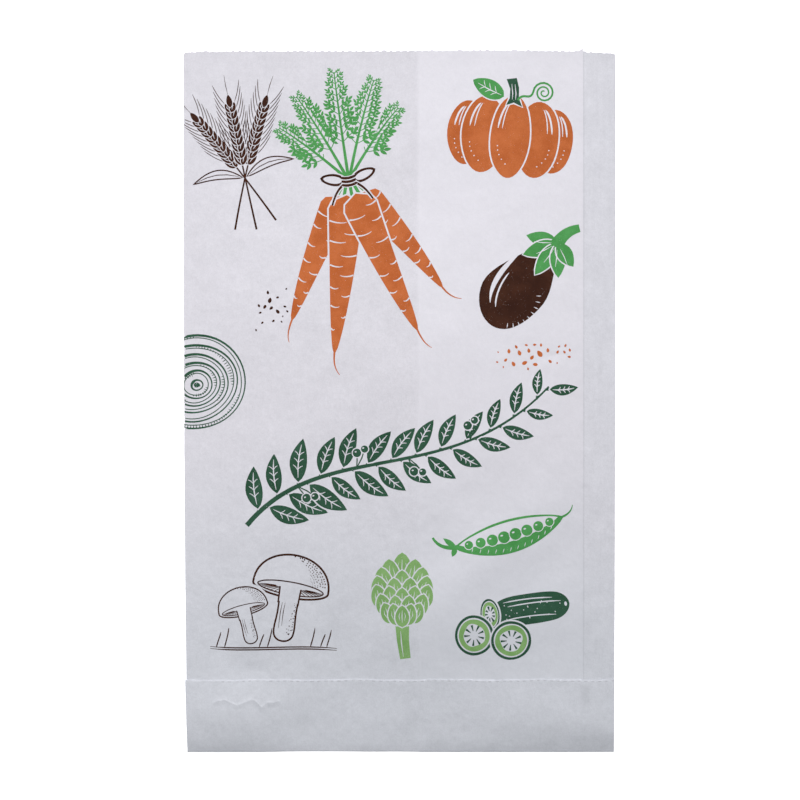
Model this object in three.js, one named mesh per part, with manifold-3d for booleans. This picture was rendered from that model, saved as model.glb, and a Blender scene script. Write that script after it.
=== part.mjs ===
// Flat paper bag with a serrated mouth, lying on its back with its face up.
// X runs across the bag, Y from the folded end to the mouth, and Z up.
// Lengths are in millimetres, and the origin is on the ground under the middle of the bag.

import * as THREE from 'three';
import { mergeVertices } from 'three/addons/utils/BufferGeometryUtils.js';
import Module from 'manifold-3d';

const wasm = await Module();
wasm.setup();

// Driving dimensions: the flattened bag
const bagWidth = 180; // between the two side folds
const bagLength = 292; // from the bottom fold to the tips of the mouth's teeth
const flapLength = 29.5; // end of the tube, folded up over the face
const seamInset = 13.5; // edge of the lap seam, from the right-hand side fold
const leftPull = 1.7; // how far the left side fold draws in by the bottom fold
const rightPull = 0.7; // the same at the right side fold
const pullPower = 3.2; // how late that narrowing comes
const flapStepOut = 0.5; // flap's upper left corner, outside the narrowed side fold

// Serrated cut ends
const toothCount = 63; // teeth across the mouth
const toothDepth = 0.8; // of a tooth of the mouth
const flapToothDepth = 0.6; // of a tooth of the flap's edge

// Heights of the upper face above the ground
const sideThickness = 0.7; // at the side folds
const crownHeight = 4.1; // rise of the face between them
const crownPower = 2.3; // fullness of the face across the bag
const bottomShare = 0.12; // part of the crown that is left at the bottom fold
const bottomReach = 0.5; // part of the length over which it grows to full height
const mouthShare = 0.42; // part of the crown that is left at the mouth
const mouthReach = 0.34; // part of the length over which it sinks to that
const swellHeight = 0.28; // soft waves in the face
const seamStep = 0.2; // the overlapping edge above the strip beside it
const flapStep = 0.4; // the flap above the face that it lies on

// Slit of the mouth, between the front lip and the back lip
const lipThickness = 0.5;
const slitHalfWidth = 84;
const slitDepth = 24;
const slitLeast = 0.12; // height of the slit where it closes

// Fineness of the curved surfaces
const gridColumns = 24;
const gridRows = 36;
const stripColumns = 3;
const flapRows = 5;
const slitRows = 4;
const sideSteps = 14; // straight pieces along a side fold
const margin = 2; // by which a slab passes the outline that trims it
const overlap = 0.25; // by which joined solids reach into each other

const halfWidth = bagWidth / 2;
const halfLength = bagLength / 2;
const seamX = halfWidth - seamInset;
const flapEdgeY = -halfLength + flapLength;
const valleyY = halfLength - toothDepth;
const toothPitch = bagWidth / toothCount;

function smooth(t) {
  const s = THREE.MathUtils.clamp(t, 0, 1);
  return s * s * (3 - 2 * s);
}

// Soft waves that run slantwise over the face
function swell(x, y) {
  const first = Math.sin(x / 23 + y / 41 + 0.6) * Math.cos(y / 31 - x / 67);
  const second = Math.sin(x / 13 - y / 37 + 2.1) * Math.sin(y / 19 + 0.8);
  return swellHeight * (0.7 * first + 0.3 * second);
}

// Height of the upper sheet: full in the middle, thin at the folds, low at both ends
function faceHeight(x, y) {
  const across = 1 - Math.min(Math.abs(x) / halfWidth, 1) ** crownPower;
  const fromBottom = (y + halfLength) / bagLength;
  const bottomRise = bottomShare + (1 - bottomShare) * smooth(fromBottom / bottomReach);
  const mouthRise = mouthShare + (1 - mouthShare) * smooth((1 - fromBottom) / mouthReach);
  return sideThickness + across * (crownHeight * bottomRise * mouthRise + swell(x, y) * bottomRise);
}

// Side fold at a height y: -1 is the left one and +1 the right one
function sideX(side, y) {
  const nearBottom = THREE.MathUtils.clamp((halfLength - y) / bagLength, 0, 1) ** pullPower;
  const pull = side < 0 ? leftPull : rightPull;
  return side * (halfWidth - pull * nearBottom);
}

function toSolid(geometry) {
  geometry.deleteAttribute('normal');
  geometry.deleteAttribute('uv');
  const merged = mergeVertices(geometry, 1e-5);
  const vertProperties = new Float32Array(merged.attributes.position.array);
  const triVerts = new Uint32Array(merged.index.array);
  return new wasm.Manifold(new wasm.Mesh({ numProp: 3, vertProperties, triVerts }));
}

// A rectangle of the ground plan, filled between a lower and an upper surface
function slab({ left, right, bottom, top, columns, rows, lower, upper }) {
  const geometry = new THREE.BoxGeometry(right - left, top - bottom, 1, columns, rows, 1);
  geometry.translate((left + right) / 2, (bottom + top) / 2, 0);
  const position = geometry.attributes.position;
  for (let i = 0; i < position.count; i++) {
    const surface = position.getZ(i) > 0 ? upper : lower;
    position.setZ(i, surface(position.getX(i), position.getY(i)));
  }
  return toSolid(geometry);
}

// An outline in the ground plan, drawn up from the ground through the whole height of the bag
function prism(points) {
  const depth = sideThickness + crownHeight + swellHeight + flapStep + margin;
  return toSolid(new THREE.ExtrudeGeometry(new THREE.Shape(points), { depth, bevelEnabled: false }));
}

// A cut edge with a row of teeth, from the right-hand fold to the left-hand one
function teeth(rightX, leftX, lowY, depth) {
  const points = [];
  const count = Math.round((rightX - leftX) / toothPitch);
  const pitch = (rightX - leftX) / count;
  for (let i = 0; i < count; i++) {
    points.push(new THREE.Vector2(rightX - i * pitch, lowY));
    points.push(new THREE.Vector2(rightX - (i + 0.5) * pitch, lowY + depth));
  }
  points.push(new THREE.Vector2(leftX, lowY));
  return points;
}

// One side of an outline, between two heights, with the corner of a flap stepping out
function sideLine(side, fromY, toY, steps, stepOut) {
  const points = [];
  for (let i = 0; i < steps; i++) {
    const y = THREE.MathUtils.lerp(fromY, toY, i / steps);
    const out = stepOut * THREE.MathUtils.clamp((y + halfLength) / flapLength, 0, 1);
    points.push(new THREE.Vector2(sideX(side, y) + side * out, y));
  }
  return points;
}

function bagOutline() {
  return prism([
    ...sideLine(-1, valleyY - toothDepth, -halfLength, sideSteps, 0),
    ...sideLine(-1, -halfLength, -halfLength, 1, 0),
    ...sideLine(1, -halfLength, valleyY, sideSteps, 0),
    ...teeth(sideX(1, valleyY), sideX(-1, valleyY), valleyY, toothDepth),
  ]);
}

function flapOutline() {
  const lowY = flapEdgeY - flapToothDepth;
  const rightX = sideX(1, lowY);
  const leftX = sideX(-1, lowY) - flapStepOut;
  return prism([
    ...sideLine(-1, lowY - flapToothDepth, -halfLength, flapRows, flapStepOut),
    ...sideLine(-1, -halfLength, -halfLength, 1, 0),
    ...sideLine(1, -halfLength, lowY, flapRows, 0),
    ...teeth(rightX, leftX, lowY, flapToothDepth),
  ]);
}

// Two flattened sheets: the face steps down at the seam to the strip beside the right-hand fold
function body() {
  const ends = { bottom: -halfLength - margin, top: halfLength + margin, lower: () => -margin };
  const face = slab({
    ...ends,
    left: -halfWidth - margin,
    right: seamX,
    columns: gridColumns,
    rows: gridRows,
    upper: (x, y) => faceHeight(x, y) + seamStep,
  });
  const strip = slab({
    ...ends,
    left: seamX - overlap,
    right: halfWidth + margin,
    columns: stripColumns,
    rows: gridRows,
    upper: faceHeight,
  });
  return face.add(strip).intersect(bagOutline());
}

// The end of the flattened tube, folded up and stuck on the face
function flap() {
  const lid = slab({
    left: -halfWidth - margin,
    right: halfWidth + margin,
    bottom: -halfLength - margin,
    top: flapEdgeY + margin,
    columns: gridColumns,
    rows: flapRows,
    lower: () => -margin,
    upper: (x, y) => faceHeight(x, y) + seamStep + flapStep,
  });
  return lid.intersect(flapOutline());
}

// The slit between the lips, widest in the middle of the mouth
function mouthSlit() {
  const halfGap = (x, y) => {
    const open = smooth((y - halfLength + slitDepth) / slitDepth);
    const room = Math.max(faceHeight(x, y) - 2 * lipThickness, 0);
    return (slitLeast + room * open) / 2;
  };
  return slab({
    left: -slitHalfWidth,
    right: slitHalfWidth,
    bottom: halfLength - slitDepth,
    top: halfLength + margin,
    columns: gridColumns,
    rows: slitRows,
    lower: (x, y) => faceHeight(x, y) / 2 - halfGap(x, y),
    upper: (x, y) => faceHeight(x, y) / 2 + halfGap(x, y),
  });
}

function toGeometry(solid) {
  const mesh = solid.getMesh();
  const geometry = new THREE.BufferGeometry();
  geometry.setAttribute('position', new THREE.BufferAttribute(mesh.vertProperties, mesh.numProp));
  geometry.setIndex(new THREE.BufferAttribute(mesh.triVerts, 1));
  geometry.computeVertexNormals();
  return geometry;
}

function paperBag() {
  const paper = new THREE.MeshStandardMaterial({ color: 0xd9d8df, roughness: 0.85, metalness: 0 });
  const solid = body().add(flap()).subtract(mouthSlit());
  const mesh = new THREE.Mesh(toGeometry(solid), paper);
  mesh.name = 'paper_bag';
  return mesh;
}

const bag = new THREE.Group();
bag.add(paperBag());

export default bag;
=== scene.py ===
"""A flat printed paper bag, lying on its back with its face up.

The bag is one sheet of paper, printed, wrapped round into a tube with a lap seam, cut with teeth
at both ends, and folded up at the bottom. The script draws the print on the flat sheet, cuts the
sheet into triangles along the edges of the ink, and folds every point of it to its place.

Lengths are in millimetres until a mesh is made, which is in metres.
"""

import random
from math import atan2, cos, degrees, exp, hypot, pi, radians, sin

import bpy
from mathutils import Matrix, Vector, noise
from mathutils.geometry import delaunay_2d_cdt


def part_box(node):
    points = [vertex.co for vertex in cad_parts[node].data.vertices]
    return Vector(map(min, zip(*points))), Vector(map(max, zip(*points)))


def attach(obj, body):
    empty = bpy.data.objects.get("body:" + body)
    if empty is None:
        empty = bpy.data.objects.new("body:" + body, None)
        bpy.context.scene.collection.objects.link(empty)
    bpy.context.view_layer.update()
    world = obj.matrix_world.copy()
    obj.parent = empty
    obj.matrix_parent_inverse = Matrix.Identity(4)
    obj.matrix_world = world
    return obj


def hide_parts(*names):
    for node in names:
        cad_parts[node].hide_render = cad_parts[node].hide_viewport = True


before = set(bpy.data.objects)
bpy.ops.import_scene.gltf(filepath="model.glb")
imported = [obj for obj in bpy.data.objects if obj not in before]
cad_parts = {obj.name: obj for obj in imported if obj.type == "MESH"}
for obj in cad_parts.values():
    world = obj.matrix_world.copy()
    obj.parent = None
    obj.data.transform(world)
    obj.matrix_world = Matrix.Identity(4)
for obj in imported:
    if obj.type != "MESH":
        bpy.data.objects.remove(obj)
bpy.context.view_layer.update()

MM = 0.001
low_corner, high_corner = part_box("paper_bag")

# The flattened bag, from the frame
BAG_WIDTH = (high_corner.x - low_corner.x) / MM
BAG_LENGTH = (high_corner.y - low_corner.y) / MM
HALF_WIDTH = BAG_WIDTH / 2
HALF_LENGTH = BAG_LENGTH / 2

# The folds and the lap, as in the frame's solid but for the flap, which is a little longer
FLAP_LENGTH = 30.2  # end of the tube, folded up over the face
SEAM_X = HALF_WIDTH - 13.5  # edge of the sheet that shows on the face
LAP_X = 7.7  # edge of the sheet that lies hidden under the face
LEFT_PULL = 1.7  # how far the left side fold draws in by the bottom fold
RIGHT_PULL = 0.7
PULL_POWER = 3.2
FLAP_STEP_OUT = 0.5  # flap's upper left corner, outside the narrowed side fold

# Heights of the face above the ground. The crown is full in the middle of the bag's width
SIDE_THICKNESS = 0.7
CROWN_HEIGHT = 4.1
CROWN_POWER = 2.3
BOTTOM_SHARE = 0.12  # part of the crown that is left at the bottom fold
BOTTOM_REACH = 0.7  # part of the bag's length over which it sinks to that
MOUTH_SHARE = 0.85
MOUTH_REACH = 0.34
SWELL_HEIGHT = 0.5  # long soft waves
COCKLE_HEIGHT = 0.34  # small waves of the paper itself

# The paper
PLY = 0.09  # thickness of the sheet
LAYER = 0.115  # from the middle of one sheet to the middle of the next
GROUND_GAP = 0.005
BACK_Z = GROUND_GAP + PLY / 2  # middle of the sheet that lies on the ground
SIDE_RADIUS = 0.22  # of the side folds
FOLD_SPAN = 1.2  # length of sheet that goes round each fold
INK_SINK = 0.012
INK_RISE = 0.022

# The cut ends
TOOTH_PITCH = BAG_WIDTH / 63
TOOTH_DEPTH = 0.62
TOOTH_POINTS = 8
FLAP_TOOTH_DEPTH = 0.3
FLAP_WAVES = ((0.16, 6.1, 4.5), (0.1, 45.0, 0.4), (0.07, 2.4, 2.2))  # its edge: height, length, shift
TOOTH_SHADE_HALF = (0.8, 0.28)  # spots of painted shade under the knife-cut teeth of the flap's edge, half their size
TOOTH_SHADE_DOWN = 0.72  # below that edge

SEED = 11
FINE = 1e-4  # points closer than this are one

# ---- the shape of the folded sheet


def clamp(value, low=0.0, high=1.0):
    return max(low, min(high, value))


def smooth(value):
    t = clamp(value)
    return t * t * (3 - 2 * t)


def mix(a, b, share):
    return a + (b - a) * share


def swell(x, y):
    """Soft waves that run slantwise over the face."""
    first = sin(x / 23 + y / 41 + 0.6) * cos(y / 31 - x / 67)
    second = sin(x / 13 - y / 37 + 2.1) * sin(y / 19 + 0.8)
    return SWELL_HEIGHT * (0.7 * first + 0.3 * second)


def cockle(x, y):
    """Small waves of the paper, longer down the bag than across it."""
    broad = noise.noise(Vector((x / 17, y / 25, 3.1)))
    small = noise.noise(Vector((x / 7, y / 10, 8.4)))
    return COCKLE_HEIGHT * (0.75 * broad + 0.25 * small)


# Soft folds and hollows: x, y, reach across, reach along, turn, height.
# Judged by how light or dark the paper is in the photo.
FACE_FORMS = [
    (75, 146, 30, 14, 0, -0.5),  # the mouth's right corner lies lower
    (36, -66, 38, 13, 42, 1.0),  # slanting fold below the middle: light above, dark below
    (38, -90, 34, 14, 10, 0.8),  # second fold under it
    (-25, -116, 48, 28, -50, -1.1),  # wide hollow low on the left
    (63, 19, 4, 2, 5, -0.14),  # small pinch beside the seam
    (62, 12, 2, 4, 0, -0.12),
]

# The same near the bottom, where all the layers lie on each other
END_FORMS = [
    (-62, -113, 9, 10, 0, -0.7),  # dent above the long crease
    (-75, -132, 26, 16, 10, 1.2),  # the flap's two fuller sides
    (60, -130, 30, 12, 5, 0.7),
    (85, -136, 26, 7, 0, 0.5),
    (-35, -143, 24, 13, -10, -1.0),  # hollows between them
    (3, -142, 14, 10, 0, -0.6),
]
FOLD_DROP = 0.3  # how far the layers come down to the bottom fold
FOLD_DROP_REACH = 7
LEAST_HEIGHT = 0.2  # of the upper sheet above the ground
LEAST_SOFTNESS = 0.2  # how gently the height comes down to that
FORMS_FADE = 24  # length above the bottom fold in which the forms of the face come in
END_TOP = -80  # the forms of the end act below this
LAP_SLOPE = 1.2  # width over which the face steps up on to the lap
LAP_SHOW = 0.7  # share of the lap's thickness that shows there


def forms(places, x, y):
    total = 0
    for form_x, form_y, across, along, turn, height in places:
        way_x, way_y = cos(radians(turn)), sin(radians(turn))
        off_x, off_y = x - form_x, y - form_y
        off_across = (off_x * way_x + off_y * way_y) / across
        off_along = (off_y * way_x - off_x * way_y) / along
        total += height * exp(-(off_across ** 2 + off_along ** 2))
    return total


def face_height(x, y):
    """Height of the upper sheet: full in the middle, thin at the folds, low at both ends."""
    across = 1 - min(abs(x) / HALF_WIDTH, 1) ** CROWN_POWER
    from_bottom = clamp((y + HALF_LENGTH) / BAG_LENGTH)
    bottom_rise = mix(BOTTOM_SHARE, 1, smooth(from_bottom / BOTTOM_REACH))
    mouth_rise = mix(MOUTH_SHARE, 1, smooth((1 - from_bottom) / MOUTH_REACH))
    crown = CROWN_HEIGHT * bottom_rise * mouth_rise
    soft = swell(x, y) * bottom_rise + cockle(x, y) * clamp(bottom_rise * 2, 0.4)
    lap_edge = LAYER * smooth((x - LAP_X + LAP_SLOPE / 2) / LAP_SLOPE)
    local = forms(FACE_FORMS, x, y) * smooth((y + HALF_LENGTH) / FORMS_FADE) + lap_edge * LAP_SHOW
    near_fold = 1 - clamp((y + HALF_LENGTH) / FOLD_DROP_REACH)
    end = forms(END_FORMS, x, y) - FOLD_DROP * near_fold ** 2 if y < END_TOP else 0
    height = SIDE_THICKNESS + across * (crown + soft) + min(across * 4, 1) * local + end
    return (height + LEAST_HEIGHT + hypot(height - LEAST_HEIGHT, LEAST_SOFTNESS)) / 2


def side_pull(x, y):
    """How far a point moves in from the side folds, more towards the bottom."""
    near_bottom = clamp((HALF_LENGTH - y) / BAG_LENGTH) ** PULL_POWER
    left = ((HALF_WIDTH - x) / BAG_WIDTH) ** 2
    right = ((HALF_WIDTH + x) / BAG_WIDTH) ** 2
    return near_bottom * (LEFT_PULL * left - RIGHT_PULL * right)


# Stretches of the flat sheet, from the seam's edge leftwards: the face, the left-hand fold,
# the back, the right-hand fold, and the lap under the face
FLAT_HALF = HALF_WIDTH - SIDE_RADIUS
LEFT_FOLD = -FLAT_HALF
BACK_START = LEFT_FOLD - FOLD_SPAN
RIGHT_FOLD = BACK_START - 2 * FLAT_HALF
LAP_START = RIGHT_FOLD - FOLD_SPAN
LAP_END = LAP_START - (FLAT_HALF - LAP_X)

# The same down the sheet: the bag, the bottom fold, and the flap
FOLD_RADIUS = 0.45
BOTTOM_FOLD = -HALF_LENGTH + FOLD_RADIUS
FLAP_START = BOTTOM_FOLD - FOLD_SPAN
FLAP_END = FLAP_START - (FLAP_LENGTH - FOLD_RADIUS)


def across_sheet(u):
    """Where the flat sheet's u comes to: x, how near to the face (1) or back (0), and in the lap (1)."""
    if u >= LEFT_FOLD:
        return u, 1, 0
    if u >= BACK_START:
        turn = pi * (LEFT_FOLD - u) / FOLD_SPAN
        return LEFT_FOLD - SIDE_RADIUS * sin(turn), (1 + cos(turn)) / 2, 0
    if u >= RIGHT_FOLD:
        return LEFT_FOLD + (BACK_START - u), 0, 0
    if u >= LAP_START:
        turn = pi * (RIGHT_FOLD - u) / FOLD_SPAN
        return FLAT_HALF + SIDE_RADIUS * sin(turn), (1 - cos(turn)) / 2, 1
    return FLAT_HALF - (LAP_START - u), 1, 1


# Creases of the flap: how high (or deep) each one is, and its path
CREASES = [
    (0.14, [(-80.2, -126.6), (-76.8, -124.6), (-73.8, -124.2), (-68.7, -126.5), (-62.1, -123.9),
            (-60.0, -125.6), (-58.4, -127.2), (-56.0, -125.4), (-52.2, -125.1), (-49.2, -124.2)]),
    (-0.06, [(-25.0, -131.4), (-22.0, -128.4), (-19.6, -126.4)]),
    (-0.04, [(5.6, -128.4), (9.0, -128.6), (12.4, -129.5)]),
    (-0.04, [(19.2, -124.3), (22.4, -124.8), (25.8, -127.1)]),
]


def crease(x, y):
    """Each crease is sharp at its path, gentle above it and steeper below."""
    total = 0
    for rise, path in CREASES:
        if path[0][0] < x < path[-1][0]:
            place = next(i for i, point in enumerate(path) if x <= point[0])
            (x0, y0), (x1, y1) = path[place - 1], path[place]
            off = y - mix(y0, y1, (x - x0) / (x1 - x0))
            ends = smooth((x - path[0][0]) / 3) * smooth((path[-1][0] - x) / 3)
            above = 0.6 * max(0, 1 - off / 2.4) ** 1.2 + 0.4 * max(0, 1 - off / 0.7) ** 1.2
            below = max(0, 1 + off / 2.2) ** 1.3
            total += rise * ends * (above if off > 0 else below)
    return total


def flap_relief(x, y):
    """Small forms of the flap's upper face: the crease, its bent edge and the seam below it."""
    edge_y = BOTTOM_FOLD + (FLAP_LENGTH - FOLD_RADIUS)
    bent_down = smooth((y - edge_y + 0.7) / 0.7)
    seam = exp(-(((x - SEAM_X - 1) / 1.2) ** 2))
    return crease(x, y) - 0.09 * bent_down - 0.07 * seam


def bag_point(u, v):
    """Where a point of the flat sheet's middle comes to, in the folded bag."""
    x, near_face, in_lap = across_sheet(u)
    if v >= BOTTOM_FOLD:
        y, turn = v, 0
    elif v >= FLAP_START:
        y, turn = BOTTOM_FOLD, pi * (BOTTOM_FOLD - v) / FOLD_SPAN
    else:
        y, turn = BOTTOM_FOLD + (FLAP_START - v), pi
    face = face_height(x, y)
    body_z = mix(BACK_Z, face - in_lap * LAYER, near_face)
    if turn == 0:
        return Vector((x + side_pull(x, y), y, body_z))
    flap_inner = face + LAYER * (1 + in_lap)
    flap_outer = face + LAYER * 3 + flap_relief(x, y) * (1 - near_face)
    flap_z = mix(flap_outer, flap_inner, near_face)
    radius = (flap_z - body_z) / 2
    across_fold = min(radius, FOLD_RADIUS)
    up_flap = clamp((y - BOTTOM_FOLD) / FLAP_LENGTH)
    step_out = FLAP_STEP_OUT * up_flap * clamp(-x / HALF_WIDTH) ** 8
    z = (body_z + flap_z) / 2 - radius * cos(turn)
    return Vector((x + side_pull(x, y) - step_out, y - across_fold * sin(turn), z))


def bag_normal(u, v):
    """The way the printed side of the sheet faces there."""
    step = 0.04
    along_u = bag_point(u + step, v) - bag_point(u - step, v)
    along_v = bag_point(u, v + step) - bag_point(u, v - step)
    return along_u.cross(along_v).normalized()


# ---- drawing tools for the print

PAPER, DARK_GREEN, GREEN, LIGHT_GREEN, ORANGE, BROWN = range(6)
drawn = []  # (ink, outline) on the flat sheet, the later ones over the earlier ones
rng = random.Random(SEED)


def turns_left(outline):
    """Whether an outline runs anticlockwise."""
    pairs = zip(outline, outline[1:] + outline[:1])
    return sum(x0 * y1 - x1 * y0 for (x0, y0), (x1, y1) in pairs) > 0


class Stamp:
    """A place on the flat sheet: what is drawn there is sized, turned and moved to it."""

    def __init__(self, x, y, turn, size=1.0):
        self.x = x
        self.y = y
        self.cos = cos(radians(turn)) * size
        self.sin = sin(radians(turn)) * size
        self.turn = turn
        self.size = size

    def place(self, x, y):
        return (self.x + x * self.cos - y * self.sin, self.y + x * self.sin + y * self.cos)

    def at(self, x, y, turn=0.0, size=1.0):
        """A smaller stamp inside this one."""
        return Stamp(*self.place(x, y), self.turn + turn, self.size * size)

    def fill(self, ink, outline):
        placed = [self.place(x, y) for x, y in outline]
        drawn.append((ink, placed if turns_left(placed) else placed[::-1]))

    def line(self, ink, path, width, ends=0.35):
        self.fill(ink, stroke(path, width, ends))

    def curve(self, ink, a, b, c, d, steps, width, ends=0.35):
        """A pen line from a to d, which sets out towards b and comes in from c."""
        self.line(ink, bezier(a, b, c, d, steps), width, ends)

    def ring(self, ink, outline, width):
        """An outline drawn round a bare field."""
        self.fill(ink, outline)
        self.fill(PAPER, inset(outline, width))

    def cut_out(self, ink, outline, gap):
        """A filled field with a bare border, which parts it from what it covers."""
        self.fill(PAPER, inset(outline, -gap))
        self.fill(ink, outline)


def bezier(a, b, c, d, steps):
    points = []
    for i in range(steps + 1):
        t = i / steps
        s = 1 - t
        weights = (s ** 3, 3 * s * s * t, 3 * s * t * t, t ** 3)
        points.append(tuple(sum(w * p[k] for w, p in zip(weights, (a, b, c, d))) for k in (0, 1)))
    return points


def side_ways(path, closed=False):
    """For each point of a path, the unit vector to its left."""
    before, after = (path[-1:], path[:1]) if closed else (path[:1], path[-1:])
    ways = []
    for (x0, y0), (x1, y1) in zip(before + path, path[1:] + after):
        length = hypot(x1 - x0, y1 - y0) or 1
        ways.append(((y0 - y1) / length, (x1 - x0) / length))
    return ways


def pen_width(width, t, ends):
    """The width at a share of a line, from a function, two end widths or one middle width."""
    if callable(width):
        return width(t)
    if isinstance(width, tuple):
        return mix(*width, t)
    return width * mix(ends, 1, smooth(min(t, 1 - t) * 6))


def stroke(path, width, ends=0.35):
    """The outline of a pen line along a path."""
    last = len(path) - 1
    left = []
    right = []
    for i, ((x, y), (nx, ny)) in enumerate(zip(path, side_ways(path))):
        half = pen_width(width, i / last, ends) / 2
        left.append((x + nx * half, y + ny * half))
        right.append((x - nx * half, y - ny * half))
    return left + right[::-1]


def inset(outline, width):
    """The outline moved inwards. width is a number or a function of a point."""
    moved = []
    for (x, y), (nx, ny) in zip(outline, side_ways(outline, True)):
        step = width(x, y) if callable(width) else width
        moved.append((x + nx * step, y + ny * step))
    return moved


def rounded(outline, passes=2):
    """A closed outline with its corners cut off, again and again."""
    for _ in range(passes):
        pairs = list(zip(outline, outline[1:] + outline[:1]))
        cuts = [(pair, t) for pair in pairs for t in (0.25, 0.75)]
        outline = [(mix(x0, x1, t), mix(y0, y1, t)) for ((x0, y0), (x1, y1)), t in cuts]
    return outline


def around(steps, point):
    """The closed outline that a function of the angle gives."""
    return [point(2 * pi * i / steps) for i in range(steps)]


def on_oval(x, y, across, along, a):
    """The point at an angle on an oval."""
    return (x + across * cos(a), y + along * sin(a))


def oval(x, y, across, along, steps, wobble=0.0):
    phase = rng.uniform(0, 6)

    def point(a):
        r = 1 + wobble * (sin(3 * a + phase) + 0.6 * sin(5 * a + 2 * phase))
        return on_oval(x, y, across * r, along * r, a)

    return around(steps, point)


def leaf(length, width, steps, fullness=0.85, bend=0.0):
    """A pointed leaf from the origin along +X."""
    lower = []
    upper = []
    for i in range(steps + 1):
        t = i / steps
        half = width / 2 * sin(pi * t ** 0.85) ** fullness
        middle = bend * length * sin(pi * t)
        lower.append((length * t, middle - half))
        upper.append((length * t, middle + half))
    return lower + upper[-2:0:-1]


def dot(stamp, ink, x, y, radius):
    steps = 7 if radius < 0.5 else 12 if radius < 1.5 else 20
    stamp.fill(ink, oval(x, y, radius, radius * rng.uniform(0.9, 1.1), steps))


def walk(path, t):
    """The point at a share of a path, and its direction in degrees."""
    place = clamp(t, 0, 0.9999) * (len(path) - 1)
    i = int(place)
    (x0, y0), (x1, y1) = path[i], path[i + 1]
    share = place - i
    return mix(x0, x1, share), mix(y0, y1, share), degrees(atan2(y1 - y0, x1 - x0))


# ---- what is printed


def leafy_branch(stamp):
    """A long branch with solid leaves in pairs and a few berries."""
    spine = bezier((-72, -16), (-30, 16), (20, -22), (74, 14), 48)
    stamp.line(DARK_GREEN, spine, (2.2, 0.8))
    pairs = 13
    for i in range(pairs):
        t = 0.05 + 0.91 * i / (pairs - 1)
        for side in (1, -1):
            shift = 0.0 if side > 0 else 0.03
            x, y, turn = walk(spine, t + shift)
            length = mix(21, 12, t) * rng.uniform(0.88, 1.1)
            angle = side * mix(58, 38, t) + rng.uniform(-7, 7)
            place = stamp.at(x, y, turn + angle)
            body = [(px + 1.8, py) for px, py in leaf(length, length * 0.4, 11, bend=0.05 * side)]
            place.line(DARK_GREEN, [(-0.4, 0), (1.2, 0), (3, 0)], 1.0, 1)
            place.cut_out(DARK_GREEN, body, 0.7)
            shares = (0.1, 0.3, 0.5, 0.7, 0.86)
            bend = 0.05 * side * length
            place.line(PAPER, [(1.8 + length * s, bend * sin(pi * s)) for s in shares], 0.55)
            for s in (0.28, 0.44, 0.6):
                for way in (1, -1):
                    start = (1.8 + length * s, bend)
                    end = (start[0] + length * 0.1, start[1] + way * length * 0.11)
                    middle = ((start[0] + end[0]) / 2 + 0.3, (start[1] + end[1]) / 2)
                    place.line(PAPER, [start, middle, end], 0.4, 0.6)
    for t, side in ((0.2, -1), (0.4, 1), (0.56, -1), (0.75, 1)):
        place = stamp.at(*walk(spine, t))
        for k, (bx, by) in enumerate(((1.5, 6.5), (5.2, 7.5))):
            place.line(DARK_GREEN, [(0, 0), (bx * 0.6, side * by * 0.5), (bx, side * by)], 0.6, 0.8)
            place.cut_out(DARK_GREEN, oval(bx, side * by, 1.9 - 0.3 * k, 1.9 - 0.3 * k, 20), 0.5)
            place.fill(PAPER, oval(bx - 0.5, side * by + 0.6, 0.5, 0.35, 8))


def carrot(stamp, length, width, bend):
    """One root, point down, with its bare marks."""
    def half(t):
        return width / 2 * min(1, (t / 0.07) ** 0.5 if t < 0.07 else 1) * (1 - t) ** 0.62

    def middle(t):
        return bend * t * t

    steps = 22
    down = [(i / steps, -length * i / steps) for i in range(steps + 1)]
    left, right = ([(middle(t) + side * half(t), y) for t, y in down] for side in (-1, 1))
    stamp.cut_out(ORANGE, left + right[-2:0:-1], 0.8)
    x, y = middle(1), -length
    tail = bezier((x, y), (x + bend * 0.1, y - 4), (x + 1, y - 7), (x + 3, y - 9), 8)
    stamp.line(ORANGE, [(x - bend * 0.03, y + 2)] + tail, (0.9, 0.25))
    side = 1
    t = 0.09
    while t < 0.86:
        reach = half(t) * rng.uniform(0.55, 1.15)
        start = middle(t) + side * half(t) * 0.97
        y = -length * t
        bends = ((0, 0), (0.4, 1.1), (0.8, 1), (1, 0.4))
        stamp.curve(PAPER, *((start - side * reach * s, y - down) for s, down in bends), 5, (0.75, 0.25))
        side = -side
        t += rng.uniform(0.045, 0.085)


def frond(stamp, length, bend):
    """A feathery carrot top, growing up from the origin."""
    bends = ((0, 0), (0.1, 0.35), (0.5, 0.75), (1, 1))
    spine = bezier(*((bend * s, length * t) for s, t in bends), 20)
    stamp.fill(PAPER, oval(bend * 0.6, length * 0.66, 7.4, length * 0.37, 22))
    stamp.line(GREEN, spine, (1.5, 0.45))
    count = 12
    for i in range(count):
        t = 0.3 + 0.68 * i / (count - 1)
        x, y, turn = walk(spine, t)
        for side in (1, -1):
            reach = mix(9.5, 3.5, (t - 0.3) / 0.7) * rng.uniform(0.85, 1.1)
            twig = stamp.at(x, y, turn + side * rng.uniform(42, 58))
            twig.line(GREEN, [(0, 0), (reach * 0.5, 0.2), (reach * 0.8, 0)], 0.5, 0.6)
            for share, turned in ((0.35, 46), (0.35, -46), (0.65, 38), (0.65, -38), (0.8, 0)):
                twig.at(reach * share, 0, turned).fill(GREEN, leaf(reach * 0.38, reach * 0.16, 4))


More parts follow.
